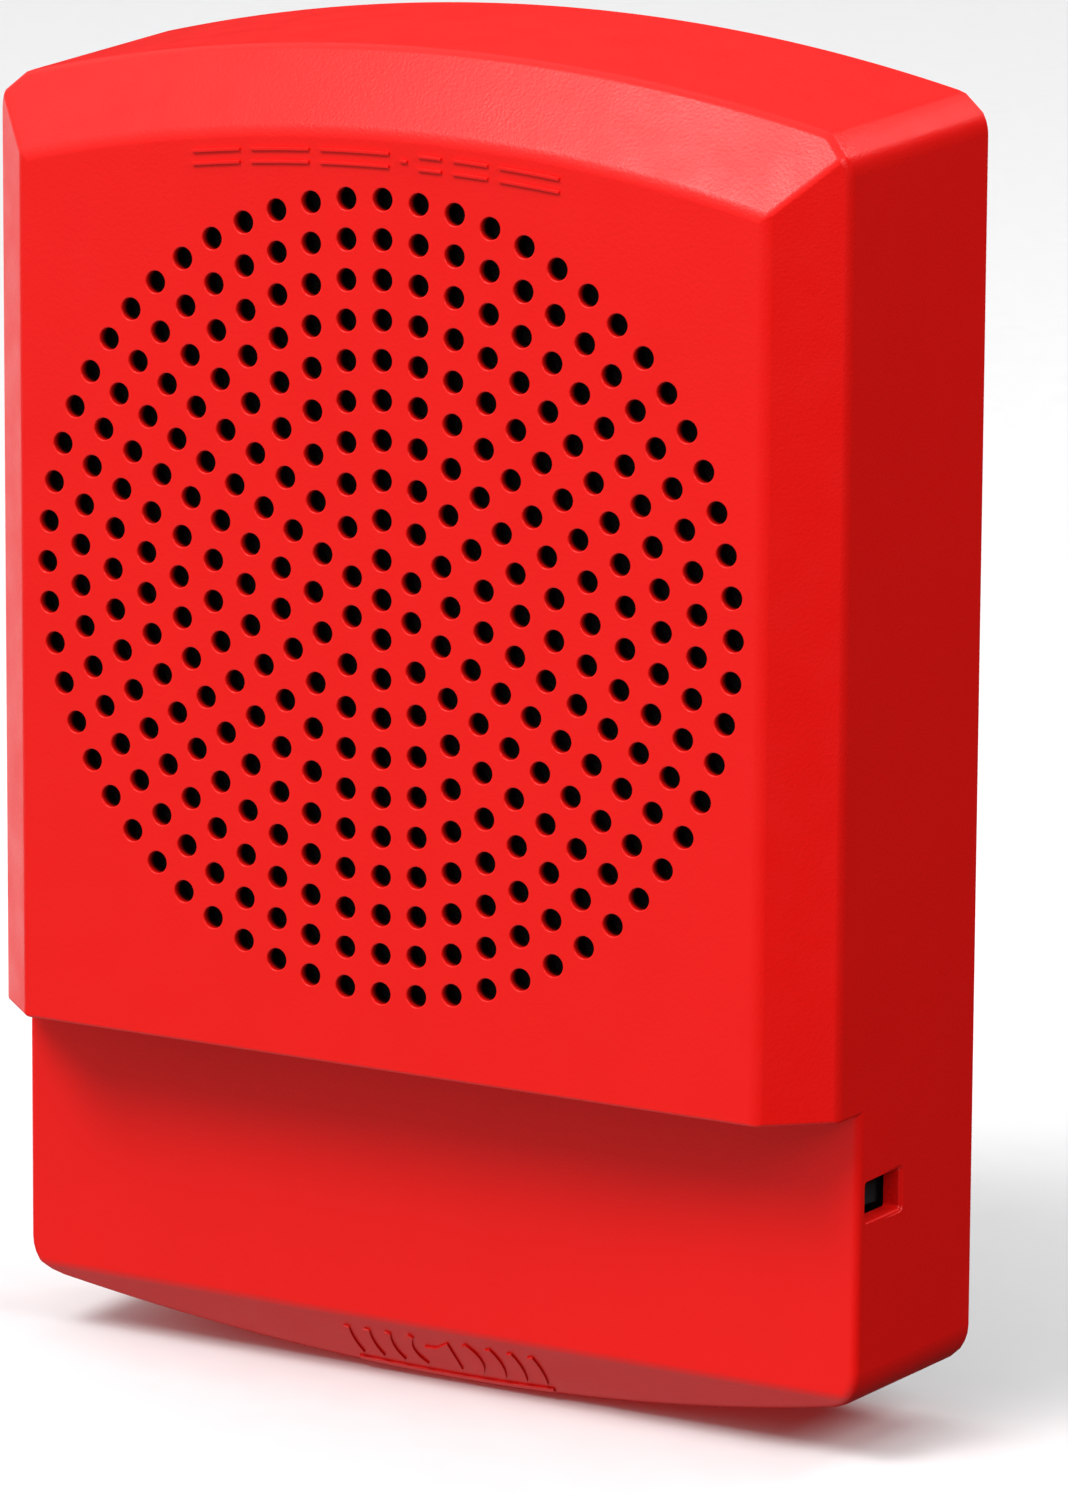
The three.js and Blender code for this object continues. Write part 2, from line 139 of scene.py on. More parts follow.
def applied(piece):
    """Puts the result of the piece's modifiers into its mesh."""
    graph = bpy.context.evaluated_depsgraph_get()
    mesh = bpy.data.meshes.new_from_object(piece.evaluated_get(graph))
    piece.modifiers.clear()
    old, piece.data = piece.data, mesh
    bpy.data.meshes.remove(old)
    return piece


def boolean(piece, other, operation):
    modifier = piece.modifiers.new("cut", "BOOLEAN")
    modifier.operation = operation
    modifier.solver = "MANIFOLD"
    modifier.object = other
    applied(piece)
    bpy.data.objects.remove(other)
    return piece


def solid(name, vertices, faces):
    """A closed mesh from millimetre points, with its faces turned outwards."""
    bm = bmesh.new()
    made = [bm.verts.new(Vector(v) * MM) for v in vertices]
    for face in faces:
        bm.faces.new([made[i] for i in face])
    bmesh.ops.recalc_face_normals(bm, faces=bm.faces)
    return new_object(name, mesh_from(bm, name))


def loft(name, loops):
    """A closed solid through loops of equal length, capped at both ends."""
    n = len(loops[0])
    faces = [tuple(range(n)), tuple(range(n * len(loops) - n, n * len(loops)))]
    for k in range(len(loops) - 1):
        here, there = k * n, (k + 1) * n
        faces += [(here + i, here + (i + 1) % n, there + (i + 1) % n, there + i) for i in range(n)]
    return solid(name, [v for ring in loops for v in ring], faces)


def joined(name, pieces):
    bm = bmesh.new()
    for piece in pieces:
        bm.from_mesh(piece.data)
        bpy.data.objects.remove(piece)
    return new_object(name, mesh_from(bm, name))


def bar(name, profile, x, z, sides=24):
    """A round solid along Y through (radius, y) pairs, at x and z."""
    turns = [2 * math.pi * k / sides for k in range(sides)]
    return loft(name, [[(x + r * math.cos(a), y, z + r * math.sin(a)) for a in turns] for r, y in profile])


def block(name, low, high):
    (x0, y0, z0), (x1, y1, z1) = low, high
    return loft(name, [[(x, y0, z0), (x, y1, z0), (x, y1, z1), (x, y0, z1)] for x in (x0, x1)])


def soften(profile, radius, steps=3, closed=True):
    """Rounds the corners of a (radius, y) profile with short curves."""
    made = []
    n = len(profile)
    for k, (r, y) in enumerate(profile):
        if not closed and k in (0, n - 1):
            made.append((r, y))
            continue
        here = Vector((r, y))
        before, after = Vector(profile[k - 1]) - here, Vector(profile[(k + 1) % n]) - here
        cut = min(radius, before.length * 0.45, after.length * 0.45)
        first, last = here + before.normalized() * cut, here + after.normalized() * cut
        for j in range(steps + 1):
            t = j / steps
            made.append(tuple(first.lerp(here, t).lerp(here.lerp(last, t), t)))
    return made


def turned(name, profile, x=0.0, z=GRILLE_Z, sides=96):
    """A solid turned about Y. A ring's profile is closed, and any other starts and ends on the axis."""
    vertices, rows = [], []
    for r, y in profile:
        if r < 1e-6:
            rows.append([len(vertices)] * sides)
            vertices.append((x, y, z))
        else:
            rows.append([len(vertices) + k for k in range(sides)])
            turns = [2 * math.pi * (k + 0.5) / sides for k in range(sides)]
            vertices += [(x + r * math.cos(a), y, z + r * math.sin(a)) for a in turns]
    if profile[0][0] > 1e-6:
        rows.append(rows[0])
    faces = []
    for low, high in zip(rows, rows[1:]):
        for k in range(sides):
            j = (k + 1) % sides
            face = list(dict.fromkeys((low[k], low[j], high[j], high[k])))
            if len(face) > 2:
                faces.append(face)
    return solid(name, vertices, faces)


def tube(name, points, radius, sides=16, steps=8):
    """A round wire along a smooth curve through millimetre points."""
    points = [Vector(p) for p in points]
    ends = [points[0] * 2 - points[1], *points, points[-1] * 2 - points[-2]]
    path = []
    for a, b, c, d in zip(ends, ends[1:], ends[2:], ends[3:]):
        for k in range(steps):
            t = k / steps
            bend, twist = 2 * a - 5 * b + 4 * c - d, 3 * b - a - 3 * c + d
            path.append(0.5 * (2 * b + (c - a) * t + bend * t ** 2 + twist * t ** 3))
    path.append(points[-1])
    loops = []
    side = Vector((1, 0, 0))
    for k, centre in enumerate(path):
        along = (path[min(k + 1, len(path) - 1)] - path[max(k - 1, 0)]).normalized()
        side = (side - along * side.dot(along)).normalized()
        up = along.cross(side)
        turns = [2 * math.pi * j / sides for j in range(sides)]
        loops.append([centre + (side * math.cos(a) + up * math.sin(a)) * radius for a in turns])
    return loft(name, loops)


def rounded(piece, width, angle=30, segments=2):
    """Rounds every edge sharper than the angle."""
    edges = piece.modifiers.new("edges", "BEVEL")
    edges.width = width * MM
    edges.segments = segments
    edges.limit_method = "ANGLE"
    edges.angle_limit = math.radians(angle)
    return applied(piece)


def copied(name, node):
    """The node's CAD shape as a new piece with its flat faces made whole."""
    bm = bmesh.new()
    bm.from_mesh(frame["nodes"][node].data)
    bmesh.ops.remove_doubles(bm, verts=bm.verts, dist=1e-7)
    bmesh.ops.dissolve_limit(bm, angle_limit=math.radians(0.5), verts=bm.verts, edges=bm.edges)
    return new_object(name, mesh_from(bm, name))


def shaded(piece, angle=32):
    """Smooth shading that leaves flat faces flat and keeps edges sharper than the angle."""
    piece.data.shade_smooth()
    piece.data.set_sharp_from_angle(angle=math.radians(angle))
    weighted = piece.modifiers.new("normals", "WEIGHTED_NORMAL")
    weighted.keep_sharp = True
    weighted.weight = 80
    return applied(piece)


def stands_for(piece, node, rides=True):
    """Gives the piece its node's finish, hides the node and, unless told not to, ties it to the body."""
    slot = slots[node]
    piece.data.materials.clear()
    piece.data.materials.append(finishes[slot])
    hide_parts(node)
    if rides:
        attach(piece, body_of[node])


# ---------- cover ----------
def solve(function, low, high):
    """The zero of a rising or falling function between two values."""
    falling = function(low) > function(high)
    for _ in range(50):
        middle = (low + high) / 2
        if (function(middle) > 0) != falling:
            high = middle
        else:
            low = middle
    return (low + high) / 2


def spread(a, b, n):
    """n even steps from a towards b, without b itself."""
    return [a + (b - a) * k / n for k in range(n)]


class CoverSurface:
    """Sharp-edged skin of the cover, moved in by an inset, as points, faces and fillet widths.
    A wall line is (kind, side, t) and runs from the front to the rear along a drafted side wall."""

    def __init__(self, inset):
        self.inset = inset
        self.points, self.index, self.faces, self.widths = [], {}, [], {}
        self.face_y = FACE_Y + inset
        self.panel_y = PANEL_Y + inset
        self.step_z = STEP_Z + inset
        self.bevel_shift = inset * (math.hypot(1, BEVEL_SLOPE) - 1)
        self.half, self.top = self.rim(self.face_y)
        lean = self.lean(ARCH_END_Y)
        self.arch_end = (ARCH - inset) * math.sin(lean)
        self.corner_end = math.pi / 2 - lean
        self.build()

    def vertex(self, x, y, z):
        key = (round(x, 4), round(y, 4), round(z, 4))
        if key not in self.index:
            self.index[key] = len(self.points)
            self.points.append((x, y, z))
        return self.index[key]

    def lean(self, y):
        """Angle of the arch where it meets the rounded corner, at depth y."""
        half = REAR_HALF + SIDE_DRAFT * y - self.inset
        return math.asin((half - CORNER + self.inset) / (ARCH - CORNER))

    def wall(self, kind, side, t, y):
        """A point of a wall line at depth y. t is x on an arch, and the angle on a corner."""
        half = REAR_HALF + SIDE_DRAFT * y - self.inset
        arch, corner = ARCH - self.inset, CORNER - self.inset
        up = kind.startswith("top")
        height = REAR_TOP + (TOP_DRAFT if up else BOTTOM_DRAFT) * y - self.inset
        if kind.endswith("arch"):
            x, z = t, height - arch + math.sqrt(arch * arch - t * t)
        else:
            lean = self.lean(y)
            x = half - corner + corner * math.cos(t)
            z = height - arch + (arch - corner) * math.cos(lean) + corner * math.sin(t)
        return side * x, y, z if up else -z

    def rim(self, y):
        """Half width and top of the mitred bevel round the face, at depth y."""
        depth = y - FACE_Y
        half = FACE_HALF + SIDE_SPREAD * depth - self.inset * math.hypot(1, SIDE_SPREAD)
        top = FACE_TOP + TOP_SPREAD * depth - self.inset * math.hypot(1, TOP_SPREAD)
        return half, top

    def beyond_side(self, p):
        return abs(p[0]) - self.rim(p[1])[0]

    def beyond_top(self, p):
        return math.hypot(p[0], p[2] - self.rim(p[1])[1] + FACE_ARCH) - FACE_ARCH

    def beyond_bevel(self, p):
        edge = self.panel_y + self.bevel_shift + BEVEL_SLOPE * (BEVEL_Z - p[2])
        return max(edge, self.panel_y) - p[1]

    def front(self, kind, side, t):
        """Where a wall line meets the rim, or the lower panel and the bottom bevel."""
        def beyond(y):
            p = self.wall(kind, side, t, y)
            if kind.startswith("top"):
                return max(self.beyond_side(p), self.beyond_top(p))
            return self.beyond_bevel(p)

        return self.wall(kind, side, t, solve(beyond, self.face_y - 1, RIM_Y))

    def past_mitre(self, t):
        """Zero for the corner line that meets the mitre between the rim's side and its top."""
        p = self.front("top corner", 1, t)
        return self.beyond_side(p) - self.beyond_top(p)

    def top_lines(self):
        """Wall lines of the top, from the left side over the arch to the right side."""
        mitre = solve(self.past_mitre, 0.05, self.corner_end)
        arch = spread(0, self.half, ARC_STEPS) + spread(self.half, self.arch_end, 3)
        # Long first steps away from the mitre leave room for its fillet.
        corner = [self.corner_end + (mitre - self.corner_end) * k for k in (0, 0.25)]
        corner += [mitre * k for k in (1, 0.62, 0.47, 0.32, 0.16, 0)]
        right = [("top arch", 1, x) for x in arch] + [("top corner", 1, t) for t in corner]
        return [(kind, -1, t) for kind, _, t in right[:0:-1]] + right

    def bottom_lines(self):
        """Wall lines of the bottom, from the right side along the arch to the left side."""
        bevel_top = BEVEL_Z + self.bevel_shift / BEVEL_SLOPE
        above_bevel = lambda t: self.wall("bottom corner", 1, t, self.panel_y)[2] - bevel_top
        turn = solve(above_bevel, 0, self.corner_end)
        corner = spread(0, turn, 3) + spread(turn, self.corner_end, 2)
        arch = [*spread(self.arch_end, 0, 36), 0]
        right = [("bottom corner", 1, t) for t in corner] + [("bottom arch", 1, x) for x in arch]
        return right + [(kind, -1, t) for kind, _, t in right[-2::-1]]

    def walls(self, lines):
        """The front and the rear points of a row of wall lines."""
        front = [self.vertex(*self.front(*line)) for line in lines]
        return front, [self.vertex(*self.wall(*line, RIM_Y)) for line in lines]

    def wall_faces(self, front, rear, fillets):
        for i, fillet in enumerate(fillets):
            self.faces.append((front[i], front[i + 1], rear[i + 1], rear[i]))
            self.widths[front[i], front[i + 1]] = fillet

    def face_arc(self, side):
        """The top edge of the flat face, from the middle to one side."""
        made = []
        for x in [*spread(0, self.half, ARC_STEPS), self.half]:
            z = self.top - FACE_ARCH + math.sqrt(FACE_ARCH ** 2 - x * x)
            made.append(self.vertex(side * x, self.face_y, z))
        return made

    def rim_faces(self, side, arc, line):
        """One half of the mitred rim, from the middle of the top down to the step."""
        for k in range(ARC_STEPS):
            self.faces.append((arc[k], arc[k + 1], line[k + 1], line[k]))
            self.widths[arc[k], arc[k + 1]] = FACE_FILLET
        self.faces.append((arc[-1], *line[MITRE_AT:ARC_STEPS - 1:-1]))
        self.widths[arc[-1], line[MITRE_AT]] = MITRE_FILLET
        face_bottom = self.vertex(side * self.half, self.face_y, self.step_z)
        x, y, _ = self.points[line[-1]]
        rim_bottom = self.vertex(x, y, self.step_z)
        self.faces.append((arc[-1], face_bottom, rim_bottom, *line[:MITRE_AT - 1:-1]))
        self.widths[arc[-1], face_bottom] = FACE_FILLET
        self.widths[rim_bottom, line[-1]] = SHOULDER_FILLET
        self.widths[face_bottom, rim_bottom] = STEP_FILLET
        return face_bottom, rim_bottom

    def build(self):
        lines = self.top_lines()
        shoulder, self.rear_top = self.walls(lines)
        right_arc, left_arc = self.face_arc(1), self.face_arc(-1)
        self.wall_faces(shoulder, self.rear_top, [SHOULDER_FILLET] * (len(lines) - 1))
        middle = len(lines) // 2
        step_right = self.rim_faces(1, right_arc, shoulder[middle:])
        step_left = self.rim_faces(-1, left_arc, shoulder[middle::-1])
        # The lower half: rounded corners and bottom arch, cut by the panel and the bevel.
        lines = self.bottom_lines()
        front, self.rear_bottom = self.walls(lines)
        last = len(lines) - 1
        beside_panel = [PANEL_FILLET] * 3
        fillets = beside_panel + [SHOULDER_FILLET] * (last - 6) + beside_panel
        self.wall_faces(front, self.rear_bottom, fillets)
        inner = []
        for side, (_, rim_bottom), upper, lower in ((1, step_right, -1, 0), (-1, step_left, 0, last)):
            x, y, _ = self.wall("bottom corner", side, 0, self.panel_y)
            corner = self.vertex(x, y, self.step_z)
            rear = (self.rear_bottom[lower], self.rear_top[upper])
            self.faces.append((shoulder[upper], rim_bottom, corner, front[lower], *rear))
            self.widths[corner, front[lower]] = PANEL_FILLET
            self.widths[rim_bottom, corner] = STEP_FILLET
            inner.append(corner)
        right, left = inner
        self.faces.append((right, *front[:4], *front[last - 3:], left))
        self.faces.append(tuple(front[3:last - 2]))
        self.widths[front[3], front[last - 3]] = BEVEL_FILLET
        self.faces.append((*step_right, right, left, *step_left[::-1]))
        self.widths[step_right[0], step_left[0]] = STEP_FILLET
        self.widths[right, left] = STEP_CORNER_FILLET
        self.faces.append((*right_arc, step_right[0], step_left[0], *left_arc[:0:-1]))


def cover_shell():
    """The cover's outer and inner skins, joined along the rear edge, with the outer edges filleted."""
    outer, inner = CoverSurface(0), CoverSurface(WALL)
    shift = len(outer.points)
    points = outer.points + inner.points
    faces = outer.faces + [tuple(i + shift for i in face[::-1]) for face in inner.faces]
    loop_out = outer.rear_top + outer.rear_bottom
    loop_in = inner.rear_top + inner.rear_bottom
    for k in range(len(loop_out)):
        a, b = k, (k + 1) % len(loop_out)
        if loop_out[a] != loop_out[b]:
            faces.append((loop_out[a], loop_out[b], loop_in[b] + shift, loop_in[a] + shift))
    shell = solid("cover", points, faces)
    widest = max(outer.widths.values())
    weights = shell.data.attributes.new("bevel_weight_edge", "FLOAT", "EDGE")
    wanted = {frozenset(pair): width for pair, width in outer.widths.items()}
    for e in shell.data.edges:
        weights.data[e.index].value = wanted.get(frozenset(e.vertices), 0) / widest
    fillet = shell.modifiers.new("fillets", "BEVEL")
    fillet.limit_method = "WEIGHT"
    fillet.width = widest * MM
    fillet.segments = 5
    fillet.use_clamp_overlap = False
    fillet.miter_outer = "MITER_SHARP"
    return applied(shell)


cover = cover_shell()


# ---------- materials ----------
def map_range(tree, source, low, high, at_low, at_high, smooth=False):
    node = tree.nodes.new("ShaderNodeMapRange")
    if smooth:
        node.interpolation_type = "SMOOTHSTEP"
    for socket, value in (("From Min", low), ("From Max", high), ("To Min", at_low), ("To Max", at_high)):
        node.inputs[socket].default_value = value
    tree.links.new(source, node.inputs["Value"])
    return node.outputs["Result"]


def vector_math(tree, operation, value, source):
    node = tree.nodes.new("ShaderNodeVectorMath")
    node.operation = operation
    node.inputs[1].default_value = value
    tree.links.new(source, node.inputs[0])
    return node


def material(
    name, colour, roughness, metallic=0.0, grain=0.1, size=0.5, mottle=0.05, lines=(), ridge=0.3, **sockets
):
    """A procedural finish: mottled colour, uneven roughness, fine grain and, if asked, ribs or weave.
    Sizes are in millimetres. Each of lines is (direction, spacing) of one set of parallel ridges."""
    made = bpy.data.materials.new(name)
    made.use_nodes = True
    tree = made.node_tree
    nodes, links = tree.nodes, tree.links
    shader = nodes["Principled BSDF"]
    shader.inputs["Metallic"].default_value = metallic
    for socket, value in sockets.items():
        shader.inputs[socket.replace("_", " ")].default_value = value
    place_in = nodes.new("ShaderNodeTexCoord").outputs["Object"]

    def noise(spacing, detail=4.0):
        node = nodes.new("ShaderNodeTexNoise")
        node.inputs["Scale"].default_value = 1000 / spacing
        node.inputs["Detail"].default_value = detail
        links.new(place_in, node.inputs["Vector"])
        return node.outputs["Fac"]

    def bump(height, strength, distance, below=None):
        node = nodes.new("ShaderNodeBump")
        node.inputs["Strength"].default_value = strength
        node.inputs["Distance"].default_value = distance * MM
        links.new(height, node.inputs["Height"])
        if below:
            links.new(below, node.inputs["Normal"])
        return node.outputs["Normal"]

    mix = nodes.new("ShaderNodeMix")
    mix.data_type = "RGBA"
    mix.inputs[6].default_value = (*[c * (1 - mottle) for c in colour], 1)
    mix.inputs[7].default_value = (*[min(1, c * (1 + mottle)) for c in colour], 1)
    links.new(noise(14), mix.inputs[0])
    links.new(mix.outputs[2], shader.inputs["Base Color"])
    uneven = map_range(tree, noise(6), 0.3, 0.7, roughness * 0.88, roughness * 1.12)
    links.new(uneven, shader.inputs["Roughness"])
    normal = bump(noise(size, 3.0), grain, 0.1)
    for direction, spacing in lines:
        wave = nodes.new("ShaderNodeTexWave")
        wave.bands_direction = direction
        wave.inputs["Scale"].default_value = math.pi / 10 / (spacing * MM)
        wave.inputs["Distortion"].default_value = 0.3
        links.new(place_in, wave.inputs["Vector"])
        normal = bump(wave.outputs["Fac"], ridge, spacing / 4, normal)
    links.new(normal, shader.inputs["Normal"])
    return made


def paint_bore_shade(finish):
    """Painted shade: the grille hole bores are painted darker with depth, standing in for the little light that
    gets into them.
    """
    tree = finish.node_tree
    nodes, links = tree.nodes, tree.links
    base = nodes["Principled BSDF"].inputs["Base Color"]
    lit = base.links[0].from_socket
    place_in = nodes.new("ShaderNodeTexCoord").outputs["Object"]
    flat = vector_math(tree, "MULTIPLY", (1, 0, 1), place_in).outputs["Vector"]
    radius = vector_math(tree, "DISTANCE", (0, 0, GRILLE_Z * MM), flat).outputs["Value"]
    depth = vector_math(tree, "DOT_PRODUCT", (0, 1, 0), place_in).outputs["Value"]
    # The outermost holes end at 51.6, before the fillet of the face begins.
    inside = map_range(tree, radius, 51.75 * MM, 51.9 * MM, 1, 0)
    deep = map_range(tree, depth, (FACE_Y + 0.15) * MM, (FACE_Y + 1.3) * MM, 0, 1)
    both = nodes.new("ShaderNodeMath")
    both.operation = "MULTIPLY"
    links.new(inside, both.inputs[0])
    links.new(deep, both.inputs[1])
    mix = nodes.new("ShaderNodeMix")
    mix.data_type = "RGBA"
    links.new(both.outputs["Value"], mix.inputs[0])
    links.new(lit, mix.inputs[6])
    # Near-black red of the painted shade deep in the bores.
    mix.inputs[7].default_value = (0.012, 0.0004, 0.0004, 1)
    links.new(mix.outputs[2], base)


COPPER = (0.75, 0.36, 0.18)
WEAVE = (("X", 0.45), ("Z", 0.45))
BOARD_WEAVE = (("X", 0.9), ("Z", 0.9))
finishes = {
    "red_abs": material(
        "red_plastic", (0.79, 0.006, 0.004), 0.36, grain=0.4, size=0.4, mottle=0.03, Specular_IOR_Level=0.25
    ),
    "black_cloth": material("speaker_cloth", (0.004, 0.004, 0.005), 0.95, grain=0.5, lines=WEAVE, ridge=0.8),
    "black_foam": material("foam", (0.012, 0.012, 0.013), 0.95, grain=1.0, size=0.35, mottle=0.2),
    "zinc_steel": material("zinc_steel", (0.60, 0.61, 0.63), 0.42, 1.0, grain=0.12, size=2, mottle=0.1),
    "treated_cloth": material("treated_cloth", (0.012, 0.011, 0.010), 0.6, grain=0.3, lines=WEAVE, ridge=0.5),
    "cone_paper": material("cone_paper", (0.022, 0.019, 0.017), 0.85, grain=0.9, size=0.9, mottle=0.2),
    "cap_paper": material("cap_paper", (0.030, 0.027, 0.025), 0.7, grain=0.6, size=0.6, mottle=0.15),
    "coil_copper": material("coil_copper", COPPER, 0.35, 1.0, lines=(("Y", 0.25),), ridge=0.9),
    "spider_cloth": material("spider_cloth", (0.45, 0.30, 0.12), 0.85, grain=0.4, lines=WEAVE, ridge=0.7),
    "plated_steel": material("plated_steel", (0.66, 0.63, 0.52), 0.36, 1.0, size=1.5, mottle=0.08),
    "ferrite": material("ferrite", (0.035, 0.035, 0.038), 0.7, grain=0.5, size=0.8, mottle=0.15),
    "phenolic_board": material("phenolic_board", (0.28, 0.13, 0.05), 0.6, grain=0.3, mottle=0.15),
    "green_laminate": material(
        "green_laminate", (0.012, 0.13, 0.035), 0.32, mottle=0.12, lines=BOARD_WEAVE, ridge=0.04
    ),
    "lamination_steel": material(
        "lamination_steel", (0.30, 0.30, 0.31), 0.45, 1.0, lines=(("Y", 0.5),), ridge=0.9
    ),
    "winding_tape": material(
        "winding_tape", (0.62, 0.47, 0.13), 0.35, grain=0.3, lines=(("Z", 2.2),), ridge=0.4
    ),
    "film_capacitor_case": material("film_case", (0.45, 0.26, 0.05), 0.3, grain=0.1, size=2),
    "can_sleeve": material("can_sleeve", (0.012, 0.016, 0.035), 0.28, grain=0.1, size=2),
    "black_nylon": material("black_nylon", (0.02, 0.02, 0.022), 0.5, grain=0.25),
    "white_nylon": material("white_nylon", (0.72, 0.70, 0.64), 0.5, grain=0.2),
    "grey_abs": material("grey_abs", (0.09, 0.094, 0.10), 0.55, grain=0.35, size=0.6, mottle=0.06),
    "grey_acetal": material("grey_acetal", (0.022, 0.023, 0.025), 0.4, grain=0.15),
    "screw_steel": material("screw_steel", (0.62, 0.62, 0.6), 0.3, 1.0, size=1.2, mottle=0.1),
    "contact_brass": material("contact_brass", (0.78, 0.56, 0.24), 0.3, 1.0, size=1.2, mottle=0.1),
    "red_insulation": material("red_insulation", (0.5, 0.01, 0.01), 0.4, size=1.5),
    "black_insulation": material("black_insulation", (0.012, 0.012, 0.013), 0.4, size=1.5),
    "tinsel_copper": material("tinsel_copper", COPPER, 0.4, 1.0, grain=0.3, lines=(("Z", 0.7),), ridge=1.0),
}
# Paints shade into the grille holes.
paint_bore_shade(finishes["red_abs"])


# ---------- grille, slots and raised details ----------
def grille_cutters():
    """Rings of round holes with rounded front rims."""
    profile = [(HOLE_RADIUS, FACE_Y + WALL + 1)]
    rim = 0.17
    for k in range(5):
        a = math.pi / 2 * k / 4
        profile.append((HOLE_RADIUS + rim * (1 - math.cos(a)), FACE_Y + rim * (1 - math.sin(a))))
    profile.append((HOLE_RADIUS + rim + 0.4, FACE_Y - 0.4))
    cutters = []
    for ring in range(HOLE_RINGS + 1):
        count = max(1, 6 * ring)
        for k in range(count):
            turn = math.pi / 2 + 2 * math.pi * k / count
            x, z = ring * HOLE_PITCH * math.cos(turn), GRILLE_Z + ring * HOLE_PITCH * math.sin(turn)
            cutters.append(bar("hole", profile, x, z))
    return joined("holes", cutters)


def fittings():
    """Screw bosses, catch ribs and hook lips inside the cover."""
    made, pilots = [], []
    for k in range(1, 5):
        x, z = middle_of(f"driver_screw_{k}")
        boss = [(4.2, FACE_Y + 1), (4.2, -38.3), (3.8, -37.4), (3.8, -34.4), (3.5, -34.1)]
        pilot = [(1.1, FACE_Y + WALL + 0.6), (1.75, -37), (1.75, -34.4), (2.2, -33.9)]
        made.append(bar("boss", boss, x, z, 32))
        pilots.append(bar("pilot", pilot, x, z, 20))
        x, z = middle_of(f"board_screw_{k}")
        boss = [(3.7, PANEL_Y + 1), (3.7, -26.2), (3.2, -25.4), (3.2, -20.6), (2.9, -20.3)]
        pilot = [(1.1, PANEL_Y + WALL), (1.75, -25), (1.75, -20.7), (2.2, -20.1)]
        made.append(bar("boss", boss, x, z, 32))
        pilots.append(bar("pilot", pilot, x, z, 20))
    for side in (1, -1):
        made.append(rounded(block("rib", (side * 58.3, -13.5, -58), (side * 61, -11.5, -50)), 0.4))
        made.append(rounded(block("lip", (side * 16, -5.6, 82.4), (side * 28, -3.2, 85.7)), 0.4))
    return made, pilots


def slot_cutter(side):
    """A release slot whose outer edges are rounded."""
    (y0, z0), (y1, z1) = SLOT_LOW, SLOT_HIGH
    surface = REAR_HALF + SIDE_DRAFT * (y0 + y1) / 2
    lip = 0.4
    levels = [(57, 0)]
    for a in [math.pi / 8 * k for k in range(5)]:
        levels.append((surface - lip * (1 - math.sin(a)), lip * (1 - math.cos(a))))
    levels.append((surface + 0.5, lip + 0.5))
    loops = []
    for x, grow in levels:
        corner, loop = 0.45 + grow, []
        for k, (cy, cz) in enumerate([(y1, z1), (y0, z1), (y0, z0), (y1, z0)]):
            inward = (0.45 if cy == y0 else -0.45, 0.45 if cz == z0 else -0.45)
            for j in range(5):
                a = math.pi / 2 * (k + j / 4)
                y, z = cy + inward[0] + corner * math.cos(a), cz + inward[1] + corner * math.sin(a)
                loop.append((side * x, y, z))
        loops.append(loop)
    return loft("slot", loops)


def raised(name, outline, at, height=0.3):
    """A low raised shape. The outline is in (u, v), and at(u, v, height) puts a point on the cover."""
    made = loft(name, [[at(u, v, h) for u, v in outline] for h in (-0.5, height)])
    return rounded(made, 0.1)


def on_bevel(u, v, height):
    """Bottom bevel: u across, v down the slope from its top edge."""
    slope = math.hypot(1, BEVEL_SLOPE)
    along, out = (BEVEL_SLOPE / slope, -1 / slope), (-1 / slope, -BEVEL_SLOPE / slope)
    return u, PANEL_Y + v * along[0] + height * out[0], BEVEL_Z + v * along[1] + height * out[1]


def on_face(u, v, height):
    """Front face: u across, v above the middle line of the row of dashes."""
    return u, FACE_Y - height, FACE_TOP - DASH_DROP - FACE_ARCH + math.sqrt(FACE_ARCH ** 2 - u * u) + v


def arc_band(radius, width, start, end, steps=14):
    turns = [math.radians(start + (end - start) * k / steps) for k in range(steps + 1)]
    outer = [((radius + width) * math.cos(a), (radius + width) * math.sin(a)) for a in turns]
    return outer + [(radius * math.cos(a), radius * math.sin(a)) for a in turns[::-1]]


def raised_details():
    """Plain double dashes above the grille, and a loudspeaker sign on the bottom bevel."""
    made = []
    start = -DASH_SPAN / 2 - 1.2
    gap = (DASH_SPAN - sum(DASHES)) / (len(DASHES) - 1)
    for length in DASHES:
        steps = max(2, round(length))
        along = [start + length * k / steps for k in range(steps + 1)]
        for v in (-0.8, 0.8) if length > 2 else (0,):
            outline = [(u, v + 0.22) for u in along] + [(u, v - 0.22) for u in along[::-1]]
            made.append(raised("dash", outline, on_face, 0.32))
        start += length + gap
    middle, half_bar = 5.8, 14.6
    across = [half_bar * (k / 8 - 1) for k in range(17)]
    drop = [REAR_TOP + BEVEL_Z - ARCH + math.sqrt(ARCH ** 2 - u * u) for u in across]
    lower_edge = [(u, d * math.hypot(1, BEVEL_SLOPE)) for u, d in zip(across, drop)]
    under = [(u, v - 1.9) for u, v in lower_edge] + [(u, v - 1.15) for u, v in lower_edge[::-1]]
    made.append(raised("bar_under_sign", under, on_bevel))
    speaker = [(-2.6, -1.3), (-0.9, -1.3), (1.5, -3), (1.5, 3), (-0.9, 1.3), (-2.6, 1.3)]
    made.append(raised("sign", [(u, v + middle) for u, v in speaker], on_bevel))
    for side in (1, -1):
        for radius in (4.6, 7.6, 10.6, 13.6):
            reach = math.degrees(math.asin(2.9 / radius))
            band = arc_band(radius, 0.9, -reach, reach)
            made.append(raised("wave", [(side * u, v + middle) for u, v in band], on_bevel))
    return made


bosses, pilots = fittings()
boolean(cover, joined("fittings", bosses), "UNION")
boolean(cover, joined("details", raised_details()), "UNION")
boolean(cover, joined("pilots", [*pilots, slot_cutter(1), slot_cutter(-1)]), "DIFFERENCE")
boolean(cover, grille_cutters(), "DIFFERENCE")
shaded(cover)
stands_for(cover, "front_cover")


